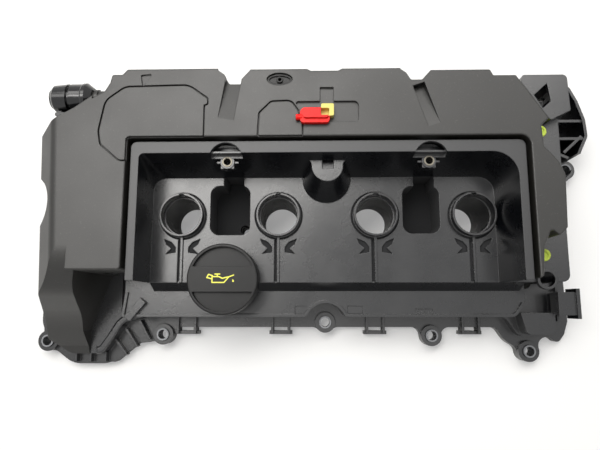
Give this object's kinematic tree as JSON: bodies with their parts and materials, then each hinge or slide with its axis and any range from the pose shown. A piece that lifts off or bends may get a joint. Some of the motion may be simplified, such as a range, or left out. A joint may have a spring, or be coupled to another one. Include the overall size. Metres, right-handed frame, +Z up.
{
  "type": "engine valve cover",
  "caption": "Moulded valve cover for an inline engine: ribbed foot, deep valley with plug wells, smooth shroud, twist oil cap and pressure valve.",
  "frame": {"origin": "middle of the row of plug wells, on the sealing plane of the foot", "axes": "+X along the row of wells towards the ribbed bay, +Y to the back edge with the breather, +Z up, away from the engine"},
  "size_m": [0.5098, 0.2555, 0.1125],
  "materials": {
    "body_plastic": "moulded, semi-gloss, glass-filled",
    "shroud_plastic": "satin moulded",
    "cap_plastic": "fine grained",
    "connector_plastic": "glossy",
    "red_plastic": "satin",
    "yellow_plastic": "satin",
    "plug_plastic": "satin",
    "sleeve_steel": "turned, zinc plated",
    "spring_steel": "drawn wire",
    "insert_brass": "turned, tarnished",
    "seal_rubber": "moulded",
    "membrane_rubber": "moulded"
  },
  "bodies": {
    "cover": {"cover_body": "body_plastic", "separator_baffle": "body_plastic", "top_shroud": "shroud_plastic", "corner_panel": "shroud_plastic", "small_panel": "shroud_plastic", "vent_cap": "cap_plastic", "breather_connector": "connector_plastic", "connector_end_cap": "connector_plastic", "connector_latch": "connector_plastic", "red_clip": "red_plastic", "yellow_collar": "yellow_plastic", "rear_end_plug": "plug_plastic", "front_end_plug": "plug_plastic", "bolt_sleeves": "sleeve_steel", "valve_spring": "spring_steel", "bracket_inserts": "insert_brass", "breather_o_ring": "seal_rubber", "perimeter_gasket": "seal_rubber", "valve_membrane": "membrane_rubber", "plug_well_seal_1": "seal_rubber", "plug_well_seal_2": "seal_rubber", "plug_well_seal_3": "seal_rubber", "plug_well_seal_4": "seal_rubber"},
    "oil_cap": {"oil_filler_cap": "cap_plastic", "oil_cap_seal": "seal_rubber"},
    "valve": {"valve_plate": "body_plastic"}
  },
  "joints": [
    {"name": "oil_cap_turn", "type": "hinge", "parent": "cover", "child": "oil_cap", "pos_m": [-0.087, -0.056, 0.068], "axis": [0, 0, 1], "range_deg": [0, 90]},
    {"name": "valve_plate_travel", "type": "slide", "parent": "cover", "child": "valve", "axis": [0, 0, -1], "range_m": [0, 0.003], "stiffness_N_per_m": 300, "springref_m": -0.002, "deforming": ["valve_spring", "valve_membrane"]}
  ]
}
